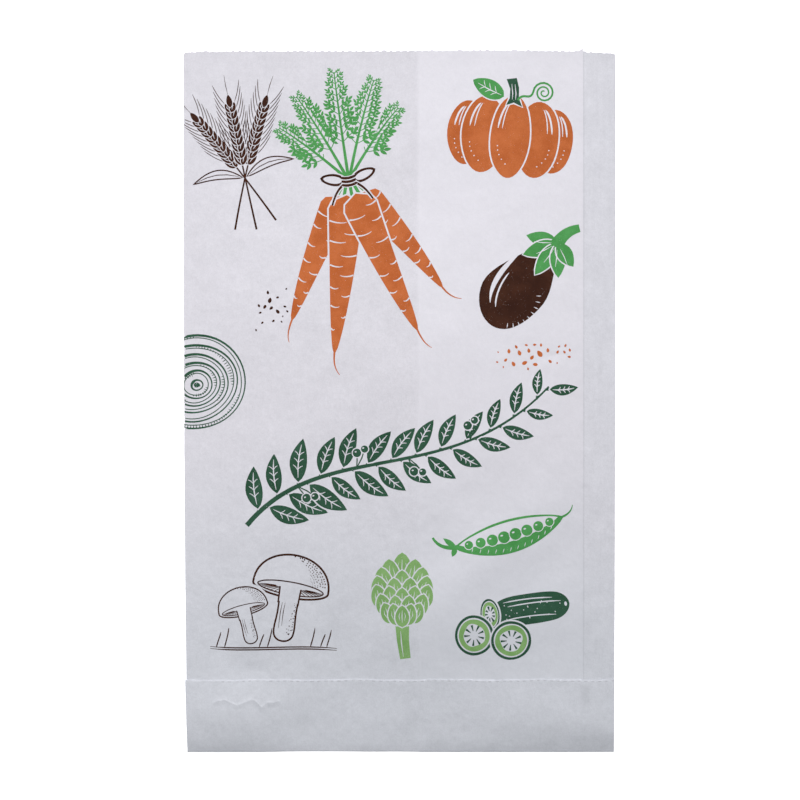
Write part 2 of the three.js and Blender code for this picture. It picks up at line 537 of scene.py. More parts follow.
def carrot_bunch(stamp):
    for turn, length, bend in ((37, 37, -4), (-37, 37, 5), (18, 43, -3), (-19, 45, 4), (-1, 48, 1)):
        frond(stamp.at(-turn * 0.055, 9, turn), length, bend)
        stem = bezier((-turn * 0.2, -1), (-turn * 0.12, 4), (-turn * 0.05, 5), (-turn * 0.06, 10), 8)
        stamp.line(GREEN, stem, 1.5, 1)
    roots = (-34, 62, 15, 3), (33, 58, 14, -3), (-13, 74, 17, -2), (12, 70, 16.5, 3)
    for turn, length, width, bend in roots:
        carrot(stamp.at(turn * 0.16, 0, turn), length, width, bend)
    for side in (1, -1):
        bow = stamp.at(side * 1.5, 6.4, 90 - side * 74)
        bow.cut_out(BROWN, leaf(12, 5.6, 12, 0.55), 0.6)
        bow.fill(PAPER, [(x + 1.6, y) for x, y in leaf(9, 3.4, 10, 0.55)])
        tail = bezier((side, 6), (side * 5, 4), (side * 7, 2), (side * 9.5, -3.5), 10)
        stamp.line(PAPER, tail, 2.1, 0.8)
        stamp.line(BROWN, tail, (1.2, 0.8))
    for y in (5.0, 6.7, 8.4):
        band = bezier((-3.4, y), (-1.2, y - 0.9), (1.2, y - 0.9), (3.4, y), 8)
        stamp.line(PAPER, band, 1.9, 1)
        stamp.line(BROWN, band, 1.2, 0.8)


def pumpkin(stamp):
    lobes = (-21, 9.5, 15.5), (21, 9.5, 15.5), (-13, 10.5, 18.5), (13, 10.5, 18.5), (0, 9.5, 20)
    for x, across, along in lobes:
        stamp.cut_out(ORANGE, oval(x, 0, across, along, 36, 0.01), 0.75)
        side = 1 if x > 0 else -1
        for reach, width in ((0.68, 0.9), (0.46, 0.55)):
            turns = [radians(mix(112, 168, i / 8)) for i in range(9)]
            shine = [on_oval(x, 0, -side * across * reach, along * 0.86, a) for a in turns]
            stamp.line(PAPER, shine, width)
        for i in range(5):
            dot(stamp, PAPER, x + side * across * (0.6 - 0.03 * i * i), -along * 0.25 - i * 2.1, 0.34)
    right = [(0, 16.6), (4.2, 15), (2.2, 19), (1.8, 24), (0.2, 28.6)]
    left = [(-4.6, 27.5), (-2.4, 23), (-2.2, 18.5), (-3.6, 15)]
    stamp.cut_out(DARK_GREEN, right + left, 0.8)
    for x in (-0.9, 0.7):
        stamp.line(PAPER, [(x, 18), (x - 0.1, 21), (x - 1.0, 25.5)], 0.5)
    curl = []
    for i in range(40):
        a = 4.6 * pi * i / 39
        r = mix(5.2, 0.7, i / 39)
        curl.append(on_oval(14, 23, r, r, pi - a))
    lead = bezier((1.8, 18), (4, 22.5), (7.6, 18), (8.8, 22.6), 12)
    stamp.line(GREEN, lead + curl[1:], (1.1, 0.6))
    blade = stamp.at(-5, 19, 158)
    blade.cut_out(GREEN, leaf(17, 9, 12, 0.7), 0.6)
    blade.line(PAPER, [(1.5, 0), (8, 0.4), (14, 0.2)], 0.6)
    for s in (4, 7, 10):
        for way in (1, -1):
            blade.line(PAPER, [(s, 0.2), (s + 1.4, way * 1.3), (s + 2.2, way * 2.5)], 0.4)


def aubergine(stamp):
    def edge(a):
        y = -24 * cos(a)
        narrow = 1 - 0.5 * smooth((y + 8) / 30)
        return (15.5 * sin(a) * narrow + 0.006 * (y + 24) ** 2 - 3, y)

    stamp.fill(BROWN, around(48, edge))
    shine = bezier((-9.5, -14), (-13, -6), (-9, 5), (-4, 13), 12)
    stamp.line(PAPER, shine, lambda t: 2.4 * sin(pi * clamp(t, 0.02, 0.98)) ** 0.8)
    stamp.curve(PAPER, (-6.5, -15), (-8.6, -10), (-8, -3), (-6, 2), 8, 0.8)
    for k in range(9):
        a = radians(mix(-78, 20, k / 8))
        reach = (11.2, 12.4), (12.6, 13.6), (13.4, 14.6)
        stamp.line(PAPER, [on_oval(-1, -8, across, along, a) for across, along in reach], 0.45)
    cap = stamp.at(10.5, 22.5, -14)
    for turn, length in ((-160, 15), (-128, 17), (-92, 18), (-55, 16), (-22, 13)):
        cap.at(0, 0, turn).cut_out(GREEN, leaf(length, 7.2, 9, 0.8), 0.6)
    cap.cut_out(GREEN, stroke(bezier((0, -2), (-0.5, 4), (1, 8), (4.5, 11.5), 10), (6.4, 3.6)), 0.5)
    for turn in (-150, -120, -92, -62, -32):
        cap.at(0, 0, turn).line(PAPER, [(3, 0), (7, 0.2), (11, 0)], 0.45)


def pea_pod(stamp):
    """A pod split open along its length, with its row of peas."""
    length = 58

    def edge(t, reach):
        return 2 + reach * sin(pi * t) ** 0.75

    steps = 26
    along = [(length * i / steps - length / 2, i / steps) for i in range(steps + 1)]
    under, over = ([(x, edge(t, reach)) for x, t in along] for reach in (-10.5, 6.5))
    stamp.fill(GREEN, under + over[-2:0:-1])
    rim = [(x * 0.9, (y - 2) * 0.72 + 2.6) for x, y in over]
    hollow = [(x * 0.9, (y - 2) * 0.5 + 2.6) for x, y in under]
    stamp.fill(PAPER, hollow + rim[-2:0:-1])
    peas = 8
    for i in range(peas):
        t = (i + 0.5) / peas
        x = (length * t - length / 2) * 0.84
        radius = 3.05 * (0.62 + 0.38 * sin(pi * t))
        y = 1.7 - 1.4 * sin(pi * t)
        stamp.cut_out(GREEN, oval(x, y, radius, radius, 22), 0.4)
        stamp.fill(PAPER, oval(x - radius * 0.3, y + radius * 0.36, radius * 0.24, radius * 0.15, 8))
    for side, reach in ((1, 8), (-1, 5)):
        stamp.at(-28, 2, 180 - side * 52).fill(GREEN, leaf(reach, 2.8, 6))
    stamp.curve(GREEN, (-27, 2), (-34, 2.6), (-37, 6), (-38, 10), 10, (2.3, 1.1))
    stamp.curve(GREEN, (28, 2), (32, 2.4), (34, 4), (35, 6.5), 8, (1.2, 0.35))
    for i in range(12):
        t = 0.14 + 0.72 * i / 11
        x = length * t - length / 2
        y = edge(t, -10.5)
        stamp.line(PAPER, [(x, y + 1.1), (x + 0.7, y + 2.1), (x + 1.1, y + 2.9)], 0.42)


def mushroom(stamp):
    """A cap seen a little from below, with gills, a stalk and pen dots for its shade."""
    left = [(-5.5, 2), (-4.6, -8), (-5.6, -19), (-3.5, -22.5), (0, -23.4)]
    right = [(3.6, -22.4), (5.8, -19), (4.9, -8), (5.6, 2)]
    stamp.ring(BROWN, rounded(left + right), 0.85)
    for _ in range(30):
        x = mix(1.2, 4.2, rng.random() ** 0.6)
        dot(stamp, BROWN, x, rng.uniform(-20, -3), rng.uniform(0.16, 0.3))
    for x in (-2.8, -1.4):
        stamp.line(BROWN, [(x, -4), (x - 0.2, -9), (x + 0.1, -14 + x)], 0.4)
    dome = []
    for i in range(31):
        a = pi * i / 30
        dome.append((19 * cos(a), 3.5 + 16.5 * sin(a) ** 0.9))
    brim = [on_oval(0, 3.5, 19, -5.4, pi * i / 30) for i in range(29, 0, -1)]
    stamp.ring(BROWN, dome + brim, 0.95)
    stamp.ring(BROWN, around(40, lambda a: on_oval(0, 3.2, 16.5, 3.4, a)), 0.6)
    for i in range(19):
        a = pi + pi * (i + 0.5) / 19
        outer = on_oval(0, 3.2, 16, 3.0, a)
        inner = on_oval(0, 3.7, 7.5, 0.7, a)
        middle = ((outer[0] + inner[0]) / 2, (outer[1] + inner[1]) / 2 + 0.15)
        stamp.line(BROWN, [inner, middle, outer], 0.38, 0.7)
    stamp.fill(PAPER, [(-4.9, 3.6), (-4.6, -3.6), (4.6, -3.6), (4.9, 3.6)])
    stamp.line(BROWN, [(-5.2, 3.4), (-5.0, 0), (-4.9, -4.5)], 0.8, 1)
    stamp.line(BROWN, [(5.2, 3.4), (5.0, 0), (4.9, -4.5)], 0.8, 1)
    for row in range(6):
        for i in range(16 - row * 2):
            a = radians(mix(8, 92 - row * 11, (i + rng.uniform(0.1, 0.9)) / (16 - row * 2)))
            reach = 0.9 - row * 0.065 - rng.uniform(0, 0.02)
            dot(stamp, BROWN, *on_oval(0, 4, 19 * reach, 16.5 * reach, a), 0.34 - row * 0.035)


def mushrooms(stamp):
    for x, reach in ((-27, 7), (-23, 10), (-6, 6), (-2, 9), (19, 9), (24, 6), (27, 8)):
        stamp.curve(BROWN, (x, -21.5), (x + 0.6, -19), (x + 1.6, -17), (x + 2.4, -21 + reach), 6, 0.6)
    ground = (-30, -21), (-12, -23), (12, -20), (32, -22)
    for down in (0, 1):
        stamp.curve(BROWN, *((x, y - down) for x, y in ground), 14, 0.6)
    mushroom(stamp.at(9, 4, -10))
    small = stamp.at(-13, -5, 14, 0.66)
    small.fill(PAPER, oval(0, 5, 20.5, 17.5, 30))
    mushroom(small)


def onion_slice(stamp):
    """Uneven rings round a heart that lies off the middle, with short pen strokes between them."""
    radius = 23.5
    while radius > 2.5:
        heart = 1 - radius / 23.5
        x, y = 1.8 * heart, -1.4 * heart
        band = rng.uniform(2.7, 4.1) * (0.75 + 0.25 * radius / 23.5)
        lean = rng.uniform(0, 6)

        def ring(a, size, wave):
            r = size * (1 + 0.035 * sin(2 * a + 0.8) + wave * sin(3 * a + lean))
            return on_oval(x, y, r, 0.94 * r, a)

        def skin_width(px, py):
            return 0.95 + 0.4 * sin(atan2(py, px) - 1)

        stamp.ring(DARK_GREEN, around(56, lambda a: ring(a, radius, 0.014)), skin_width)
        stamp.ring(DARK_GREEN, around(56, lambda a: ring(a, radius - 1.7, 0.02)), 0.42)
        steps = int(radius * 4.2)
        for i in range(steps):
            a = 2 * pi * (i + rng.uniform(0.4, 0.6)) / steps
            shade = sin(a * 2 + lean) + 0.5 * sin(a * 5 + lean)
            if shade > 0.1:
                start = radius - 1.5
                end = start - band * 0.3 * min(shade, 1) * rng.uniform(0.8, 1.2) - 0.6
                reach = (start, (start + end) / 2, end)
                points = [on_oval(x, y, r, 0.94 * r, a) for r in reach]
                stamp.line(DARK_GREEN, points, (0.5, 0.15))
        radius -= band + 1.1
    heart = [(0.6, -1.4), (1.8, -1.2), (3.2, -1.7)]
    stamp.line(DARK_GREEN, heart, lambda t: 1.5 - 1.2 * abs(2 * t - 1))


def artichoke(stamp):
    """Rows of pointed scales, each over the row above it."""
    stalk = stroke([(0, -16), (0.4, -24), (1.6, -33)], (7, 5.4))
    stamp.fill(LIGHT_GREEN, stalk)
    stamp.line(PAPER, [(-0.8, -19), (-0.4, -25), (0.6, -32)], 0.6)
    rows = 7
    for row in range(rows):
        down = row / (rows - 1)
        y = mix(5, -17, down)
        reach = 13.5 * sin(pi * mix(0.17, 0.86, down)) ** 0.8
        count = (1, 2, 3, 4, 5, 4, 5)[row]
        size = mix(16, 11, down)
        for i in sorted(range(count), key=lambda k: -abs(k - (count - 1) / 2)):
            off = (i - (count - 1) / 2) / (count / 2)
            place = stamp.at(off * reach, y + 2.4 * abs(off), 90 - off * mix(6, 26, down))
            place.cut_out(LIGHT_GREEN, leaf(size, size * 0.64, 11, 0.62), 0.65)
            place.line(PAPER, [(size * 0.2, 0), (size * 0.5, 0.1), (size * 0.78, 0)], 0.5)
            for way in (1, -1):
                side = [(size * s, way * size * w) for s, w in ((0.3, 0.1), (0.5, 0.15), (0.68, 0.11))]
                place.line(PAPER, side, 0.38)


def cucumber(stamp):
    """A cut cucumber with two of its slices in front."""
    body = rounded([(-4, -7), (22, -7.6), (31, -6), (35, 0), (31, 6), (22, 7.6), (-4, 7)], 3)
    stamp.fill(DARK_GREEN, body)
    for y, start, end in ((4.6, 2, 26), (2.4, 4, 30), (-3.8, 3, 27)):
        stamp.curve(PAPER, (start, y), (start + 8, y + 0.6), (end - 8, y + 0.5), (end, y - 0.6), 12, 0.6)
    for _ in range(22):
        dot(stamp, PAPER, rng.uniform(2, 31), rng.uniform(-5.6, 5.6) * 0.8, 0.28)
    stamp.fill(PAPER, oval(32.2, 0, 0.7, 1.1, 12))
    for x, y, across, along in ((-5, 0, 4.6, 7.6), (-14, -9, 9.4, 9.8), (3.5, -14, 9.8, 9.4)):
        stamp.cut_out(DARK_GREEN, oval(x, y, across, along, 40, 0.006), 0.8)
        stamp.fill(PAPER, oval(x, y, across * 0.87, along * 0.87, 36, 0.006))
        stamp.fill(LIGHT_GREEN, oval(x, y, across * 0.8, along * 0.8, 34, 0.008))
        stamp.fill(PAPER, oval(x, y, across * 0.56, along * 0.56, 30, 0.05))
        for k in range(9):
            a = 2 * pi * (k + 0.4) / 9
            wide = across / along
            heart = stamp.at(*on_oval(x, y, along * wide * 0.22, along * 0.22, a), degrees(a))
            size = along * 0.3 * (wide if abs(cos(a)) > 0.7 else 1)
            heart.fill(DARK_GREEN, stroke([(0, 0), (size * 0.5, 0), (size, 0)], (0.3, 1.1)))


def chilli(stamp, bend):
    path = bezier((0, 0), (12, bend), (26, bend * 1.1), (42, -bend * 0.3), 26)
    body = stroke(path, lambda t: 9.6 * (1 - t) ** 0.55 * clamp(t * 14 + 0.45) + 0.25)
    stamp.cut_out(ORANGE, body, 0.7)
    shine = [(x, y + 1.5) for x, y in path[3:16]]
    stamp.line(PAPER, shine, lambda t: 1.0 * sin(pi * clamp(t, 0.03, 0.97)) + 0.1)
    stamp.line(PAPER, [(x, y - 2.4) for x, y in path[5:12]], 0.4)
    for turn in (-38, -12, 14, 40):
        stamp.at(-0.5, 0, turn).cut_out(DARK_GREEN, leaf(7.4, 3.6, 7), 0.35)
    stalk = bezier((0.5, 0), (-4, 0.6), (-8, 3), (-10, 7), 10)
    stamp.line(DARK_GREEN, stalk, (2.6, 1.7))


def chillies(stamp):
    chilli(stamp.at(-12, 8, -32), 7)
    chilli(stamp.at(-17, -4, -4), -8)


def wheat_ear(stamp, bend):
    path = bezier((0, -34), (bend * 0.1, -12), (bend * 0.4, 8), (bend, 30), 30)
    stamp.line(BROWN, path, (0.95, 0.5))
    grains = 9
    for i in range(grains):
        x, y, turn = walk(path, 0.5 + 0.46 * i / grains)
        size = 6.6 - 0.18 * i
        for side in (1, -1):
            place = stamp.at(x, y, turn + side * 27)
            awn = (size, 0), (size + 4, 0.4 * side), (size + 7, 0), (size + 11, -0.8 * side)
            place.curve(BROWN, *awn, 6, 0.34)
            place.cut_out(BROWN, leaf(size, 2.9, 8, 0.75), 0.35)
            place.line(PAPER, [(1.4, 0.1), (3, 0.3), (size - 1.4, 0.1)], 0.42)
    top = stamp.at(*walk(path, 0.945))
    top.cut_out(BROWN, leaf(6.4, 2.8, 8, 0.75), 0.35)
    top.line(BROWN, [(6, 0), (11, 0.2), (16, 0)], 0.34)


def wheat(stamp):
    for x, turn, bend in ((-2, 20, -5), (2, -22, 6), (0, -1, 1)):
        wheat_ear(stamp.at(x, 0, turn), bend)
    for side in (1, -1):
        place = stamp.at(side * 0.8, -8, 90 - side * 84)
        place.ring(BROWN, leaf(25, 5.0, 14, 0.8, 0.12 * side), 0.6)
        rib = [(25 * s, 0.12 * side * 25 * sin(pi * s)) for s in (0.08, 0.3, 0.5, 0.7, 0.9)]
        place.line(BROWN, rib, 0.4)


def seeds(stamp, ink, count, across, along, large):
    """A loose scatter of seeds, none touching another."""
    placed = []
    tries = 0
    while len(placed) < count and tries < 900:
        tries += 1
        a = rng.uniform(0, 2 * pi)
        r = rng.random() ** 0.7
        x, y = on_oval(0, 0, across * r, along * r, a)
        size = large * (1 - 0.62 * r) * rng.uniform(0.6, 1.1)
        if all(hypot(x - px, y - py) > size + other + 0.8 for px, py, other in placed):
            placed.append((x, y, size))
            place = stamp.at(x, y, rng.uniform(0, 180))
            place.fill(ink, [(px - size, py) for px, py in leaf(2 * size, 1.25 * size, 7, 0.7)])


def pear(stamp):
    """Half a pear, drawn with a pen: skin, core, pips and dots for the shade."""
    def inside(a, share):
        y = -23 * cos(a) * share
        return (16 * sin(a) * share * (1 - 0.5 * smooth((y + 4) / 26)), y)

    outline = around(54, lambda a: inside(a, 1))
    stamp.ring(LIGHT_GREEN, outline, lambda x, y: 1.0 + 0.5 * clamp((x - y) / 20))
    stamp.ring(LIGHT_GREEN, inset(outline, 2.4), 0.45)
    core = [(x * 0.42, (y + 3) * 0.42 - 5) for x, y in outline]
    stamp.ring(LIGHT_GREEN, core, 0.5)
    for side in (1, -1):
        stamp.at(side * 2.2, -3, -90 - side * 16).fill(LIGHT_GREEN, leaf(7, 3, 8, 0.7))
    for _ in range(120):
        x, y = inside(rng.uniform(0, 2 * pi), mix(0.5, 0.84, rng.random() ** 0.5))
        if x > -2:
            dot(stamp, LIGHT_GREEN, x, y, rng.uniform(0.16, 0.34))
    stamp.curve(LIGHT_GREEN, (0, 22), (0, 26), (1.5, 29), (5, 32), 8, (1.3, 2.1))
    blade = stamp.at(1, 26, 150)
    blade.cut_out(LIGHT_GREEN, leaf(17, 8, 11, 0.7, 0.06), 0.5)
    blade.line(PAPER, [(2, 0.2), (8, 1.2), (14, 0.6)], 0.5)


def draw_face():
    wheat(Stamp(-66, 100, 14, 0.86))
    carrot_bunch(Stamp(-20, 86, 10, 0.9))
    pumpkin(Stamp(46, 110, -6, 0.86))
    aubergine(Stamp(50, 50, -20, 0.9))
    onion_slice(Stamp(-86, 8, 0, 0.92))
    leafy_branch(Stamp(-2, -22, 13, 0.93))
    mushrooms(Stamp(-54, -84, 0, 0.86))
    artichoke(Stamp(1, -80, 0, 0.82))
    pea_pod(Stamp(46, -56, 16, 0.82))
    cucumber(Stamp(42, -88, 8, 0.86))
    seeds(Stamp(55, 19, 6), ORANGE, 26, 17, 5.5, 1.8)
    seeds(Stamp(-54, 38, 60), BROWN, 16, 12, 7, 1.5)


def draw_back():
    pear(Stamp(-120, 70, 14, 1.0))
    leafy_branch(Stamp(-182, 20, -24, 1.0))
    pumpkin(Stamp(-215, 104, 8, 0.95))
    chillies(Stamp(-160, 112, 18, 0.95))
    artichoke(Stamp(-128, -38, 10, 1.0))
    wheat(Stamp(-235, -40, -14, 1.0))
    onion_slice(Stamp(-182, -62, 0, 0.9))
    pea_pod(Stamp(-126, -92, 12, 0.85))
    mushrooms(Stamp(-232, -108, 0, 0.9))
    seeds(Stamp(-232, 50, 0), ORANGE, 22, 20, 10, 1.8)


# ---- the flat sheet, cut into triangles


def tooth(u, row):
    """Height of the knife's tooth there, from 0 to 1. Each one is torn a little differently."""
    place = u / TOOTH_PITCH + row * 0.37
    number = place // 1
    size = clamp(0.45 + 0.25 * (number % 2) + 0.9 * noise.noise(Vector((number * 0.73, row, 1.7))))
    width = 0.34 + 0.3 * noise.noise(Vector((number * 0.61, row, 6.2)))
    off = (place - number - 0.5) / width
    return size * max(0, 1 - off * off) ** 0.7


def mouth_edge(u):
    """How far the mouth's cut edge stands back from the end of the bag."""
    x, near_face, in_lap = across_sheet(u)
    ragged = 0.1 * noise.noise(Vector((u * 1.3, 0.5, 5.5)))
    ragged += 0.12 * noise.noise(Vector((u / 15, 3.5, 2.5)))
    corner = 0.7 * smooth((abs(x) - HALF_WIDTH + 2.2) / 2.2)
    if in_lap:
        back = 0.42 + 0.3 * smooth((x - SEAM_X) / 10)
    elif near_face > 0.5:
        back = 0.3 + 0.2 * exp(-(((x + 28) / 26) ** 2)) - 0.28 * smooth((x - 10) / 40)
        back -= 0.75 * smooth((x - SEAM_X + 2.6) / 1.8)
    else:
        back = 0.42 + 0.1 * sin(x / 14)
    return back + corner + ragged + 0.22 - TOOTH_DEPTH * tooth(u, in_lap + 2 * round(near_face))


def flap_wave(x):
    """How far the flap's edge strays from a straight line."""
    return sum(height * sin(x / length + shift) for height, length, shift in FLAP_WAVES)


def fold_rows():
    """Places across the sheet where it goes round its two side folds."""
    return [fold - FOLD_SPAN * i / 8 for fold in (LEFT_FOLD, RIGHT_FOLD) for i in range(9)]


def sheet_outline():
    """The flat sheet, with its two toothed ends."""
    step = TOOTH_PITCH / TOOTH_POINTS
    count = int((SEAM_X - LAP_END) / step)
    across = sorted([mix(LAP_END, SEAM_X, i / count) for i in range(count + 1)] + fold_rows())
    mouth = [(u, HALF_LENGTH - mouth_edge(u)) for u in across]
    foot = []
    for u in across:
        edge = FLAP_END + FLAP_TOOTH_DEPTH - flap_wave(across_sheet(u)[0])
        foot.append((u, edge - FLAP_TOOTH_DEPTH * tooth(u, 5)))
    down = [mix(HALF_LENGTH, FLAP_END, i / 90) for i in range(2, 89)]
    return foot + [(SEAM_X, v) for v in down[::-1]] + mouth[::-1] + [(LAP_END, v) for v in down]


def spread(start, end, step):
    count = max(1, round(abs(end - start) / step))
    return [mix(start, end, (i + 0.5) / count) for i in range(count)]


def grid_points():
    """Points all over the sheet, closer together where it folds."""
    coarse = 3.6
    across = spread(SEAM_X, LEFT_FOLD + 0.5, coarse) + fold_rows()
    across += spread(BACK_START - 0.5, RIGHT_FOLD + 0.5, coarse)
    across += spread(LAP_START - 0.5, LAP_END, coarse)
    along = spread(HALF_LENGTH - 1.9, BOTTOM_FOLD + 0.5, coarse)
    along += [BOTTOM_FOLD - FOLD_SPAN * i / 8 for i in range(9)]
    along += spread(FLAP_START - 0.5, FLAP_END + 2.4, 1.3)
    points = [(u, v) for u in across for v in along]
    # By the small pinch beside the seam
    points += [(u, v) for u in spread(57, 69, 0.9) for v in spread(6, 24, 0.9)]
    # By the cut edges
    near_ends = (HALF_LENGTH - 1.6, HALF_LENGTH - 1.2, FLAP_END + 0.8, FLAP_END + 1.3, FLAP_END + 1.9)
    points += [(u, v) for u in fold_rows() for v in near_ends]
    fine_u = spread(BACK_START, RIGHT_FOLD, 1.2)
    points += [(u, v) for u in fine_u for v in (FLAP_END + 0.6 + 0.2 * k for k in range(3))]
    # Along the creases of the flap, and where the face steps up on to the lap
    for _, path in CREASES:
        crease_u = [BACK_START - (x - LEFT_FOLD) for x, _ in (path[0], path[-1])]
        heights = [y for _, y in path]
        crease_v = [FLAP_START - (y - BOTTOM_FOLD) for y in (min(heights) - 1.8, max(heights) + 2.2)]
        points += [(u, v) for u in spread(*crease_u, 0.45) for v in spread(*crease_v, 0.4)]
    lap_u = [LAP_X - 0.6 + 0.3 * k for k in range(5)]
    points += [(u, v) for u in lap_u for v in spread(HALF_LENGTH - 2, BOTTOM_FOLD + 1, coarse)]
    return points


def cut_sheet():
    """Triangles of the flat sheet, with the ink that each one holds."""
    points = []
    outlines = []
    for outline in [sheet_outline()] + [shape for _, shape in drawn]:
        outlines.append(list(range(len(points), len(points) + len(outline))))
        points += [Vector(point) for point in outline]
    points += [Vector(point) for point in grid_points()]
    flat, _, triangles, _, _, sources = delaunay_2d_cdt(points, [], outlines, 0, FINE)
    kept = []
    for triangle, source in zip(triangles, sources):
        if 0 in source:
            top = max(source)
            kept.append((tuple(triangle), drawn[top - 1][0] if top else PAPER))
    return flat, kept


class Skin:
    """The points, faces and normals of a mesh that is being put together."""

    def __init__(self):
        self.points = []
        self.faces = []
        self.ways = []

    def layer(self, points, ways, triangles, side):
        """Adds a film's printed side (1) or its other side (-1), and says where each point went."""
        used = sorted({i for triangle in triangles for i in triangle})
        place = {old: len(self.points) + i for i, old in enumerate(used)}
        self.points += [points[i] * MM for i in used]
        for triangle in triangles:
            corners = triangle if side > 0 else triangle[::-1]
            self.faces.append([place[i] for i in corners])
            self.ways += [ways[i] * side for i in corners]
        return place

    def rim(self, edges, upper, lower):
        """Joins the two sides along the open edges, where upper and lower give the places of a point."""
        for a, b in edges:
            face = (upper[b], upper[a], lower[a], lower[b])
            p, q, r = (self.points[i] for i in face[:3])
            self.faces.append(face)
            self.ways += [(q - p).cross(r - q).normalized()] * 4

    def make(self, name):
        mesh = bpy.data.meshes.new(name)
        mesh.from_pydata(self.points, [], self.faces)
        mesh.polygons.foreach_set("use_smooth", [True] * len(self.faces))
        mesh.normals_split_custom_set(self.ways)
        piece = bpy.data.objects.new(name, mesh)
        bpy.context.collection.objects.link(piece)
        return piece


def open_edges(triangles):
    edges = {edge for a, b, c in triangles for edge in ((a, b), (b, c), (c, a))}
    return [(a, b) for a, b in sorted(edges) if (b, a) not in edges]


def offset(middle, normals, distance):
    return [point + normal * distance for point, normal in zip(middle, normals)]


def ink_film(name, triangles, middle, normals):
    """A thin closed film of ink on the printed side of the sheet."""
    skin = Skin()
    upper = skin.layer(offset(middle, normals, PLY / 2 + INK_RISE), normals, triangles, 1)
    lower = skin.layer(offset(middle, normals, PLY / 2 - INK_SINK), normals, triangles, -1)
    skin.rim(open_edges(triangles), upper, lower)
    return skin.make(name)


def paper_sheet(triangles, flat, middle, normals):
    """The sheet itself. Its bare side needs no triangles along the print, so it gets its own."""
    skin = Skin()
    upper = skin.layer(offset(middle, normals, PLY / 2), normals, triangles, 1)
    edges = open_edges(triangles)
    following = dict(edges)
    loop = [edges[0][0]]
    while following[loop[-1]] != loop[0]:
        loop.append(following[loop[-1]])
    outline = [flat[i] for i in loop]
    points = outline + [Vector(point) for point in grid_points()]
    inner, _, inner_triangles, sources, _, inside = delaunay_2d_cdt(
        points, [], [list(range(len(loop)))], 0, FINE)
    inner_triangles = [tuple(t) for t, held in zip(inner_triangles, inside) if held]
    inner_normals = [bag_normal(u, v) for u, v in inner]
    inner_middle = [bag_point(u, v) for u, v in inner]
    place = skin.layer(offset(inner_middle, inner_normals, -PLY / 2), inner_normals, inner_triangles, -1)
    lower = {}
    for new, olds in enumerate(sources):
        lower.update({loop[old]: place[new] for old in olds if old < len(loop)})
    skin.rim(edges, upper, lower)
    return skin.make("paper_sheet")


# ---- materials


class Nodes:
    """A short way to write a material's nodes. Places are in millimetres."""

    def __init__(self, name):
        self.material = bpy.data.materials.new(name)
        self.material.use_nodes = True
        self.tree = self.material.node_tree
        self.shader = self.tree.nodes["Principled BSDF"]
        source = self.add("ShaderNodeTexCoord")
        in_metres = source.outputs["Object"]
        scaled = self.add("ShaderNodeVectorMath", {"operation": "SCALE"}, i0=in_metres, Scale=1 / MM)
        self.place = scaled.outputs[0]
        self.x, self.y, _ = self.add("ShaderNodeSeparateXYZ", i0=self.place).outputs
        self.facing = self.add("ShaderNodeSeparateXYZ", i0=source.outputs["Normal"]).outputs[2]

    def add(self, kind, settings=None, **inputs):
        node = self.tree.nodes.new(kind)
        for key, value in (settings or {}).items():
            setattr(node, key, value)
        for key, value in inputs.items():
            socket = int(key[1:]) if key[1:].isdigit() else key
            self.put(node.inputs[socket], value)
        return node

    def put(self, socket, value):
        if isinstance(value, bpy.types.NodeSocket):
            self.tree.links.new(value, socket)
        else:
            socket.default_value = value

    def math(self, operation, a, b=0.0, c=0.0):
        return self.add("ShaderNodeMath", {"operation": operation}, i0=a, i1=b, i2=c).outputs[0]

    def minus(self, a, b):
        return self.math("SUBTRACT", a, b)

    def times(self, first, *others):
        for other in others:
            first = self.math("MULTIPLY", first, other)
        return first

    def plus(self, total, value, share):
        """The total with a share of the value added."""
        return self.math("MULTIPLY_ADD", value, share, total)

    def noise(self, size, stretch=(1, 1, 1), detail=3.0, rough=0.55):
        """Clouds of a size in millimetres, between 0 and 1."""
        scale = Vector(stretch) / size
        moved = self.add("ShaderNodeVectorMath", {"operation": "MULTIPLY"}, i0=self.place, i1=scale)
        inputs = {"Vector": moved.outputs[0], "Scale": 1, "Detail": detail, "Roughness": rough}
        return self.add("ShaderNodeTexNoise", **inputs).outputs["Fac"]

    def ramp(self, value, low, high, out_low=0.0, out_high=1.0):
        """A smooth change from out_low to out_high while the value goes from low to high."""
        settings = {"interpolation_type": "SMOOTHSTEP"}
        ends = {"From Min": low, "From Max": high, "To Min": out_low, "To Max": out_high}
        return self.add("ShaderNodeMapRange", settings, Value=value, **ends).outputs["Result"]

    def fall(self, value, low, high):
        return self.ramp(value, low, high, 1.0, 0.0)

    def blend(self, value, low, high):
        return self.add("ShaderNodeMix", {"data_type": "RGBA"}, i0=value, i6=low, i7=high).outputs[2]

    def tint(self, value, dark, light):
        return self.blend(value, (*dark, 1), (*light, 1))

    def bump(self, height, strength, distance):
        inputs = {"Height": height, "Strength": strength, "Distance": distance * MM}
        self.put(self.shader.inputs["Normal"], self.add("ShaderNodeBump", **inputs).outputs[0])


# The paper's colours, dark and light, where it is warmest (lit) and where it is coolest (painted cool
# shade towards the bottom)
LIT_PAPER = ((0.627, 0.619, 0.664), (0.777, 0.767, 0.822))
COOL_SHADE_PAPER = ((0.602, 0.619, 0.664), (0.747, 0.767, 0.822))
SHADED_PAPER = (0.4, 0.405, 0.44, 1)  # painted shade under the teeth of the flap's edge and at the bottom fold
BARE_PAPER = (0.62, 0.61, 0.64, 1)  # in the pinholes of the ink


